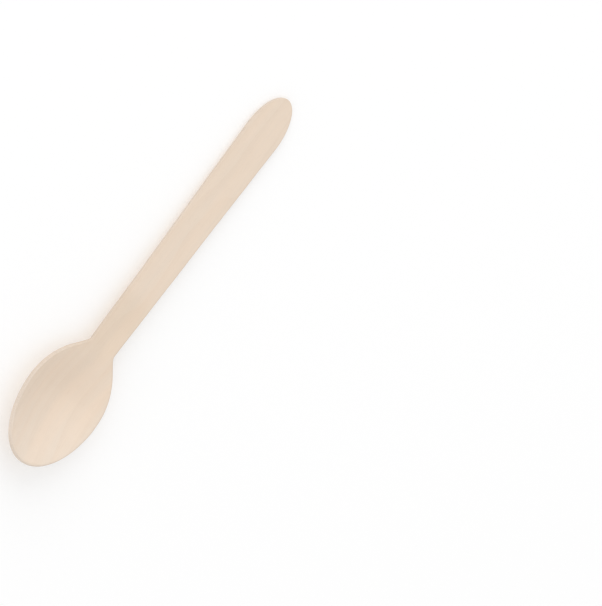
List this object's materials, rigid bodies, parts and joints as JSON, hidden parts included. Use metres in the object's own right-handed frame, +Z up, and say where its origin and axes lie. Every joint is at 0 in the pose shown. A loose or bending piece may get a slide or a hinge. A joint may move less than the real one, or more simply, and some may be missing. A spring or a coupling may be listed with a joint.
{
  "type": "wooden spoon",
  "caption": "Disposable spoon pressed from thin birch veneer, with a dished oval bowl, a soft neck and a flat handle that widens to a round end.",
  "frame": {"origin": "middle of the spoon's box in plan, on the surface that it lies on", "axes": "+X along the spoon from the bowl's tip towards the end of the handle, +Z up out of the bowl's hollow, +Y across it"},
  "size_m": [0.1604, 0.0344, 0.0103],
  "materials": {
    "birch": "bare pressed veneer, smooth and matt"
  },
  "bodies": {
    "root": {"spoon": "birch"}
  },
  "joints": []
}
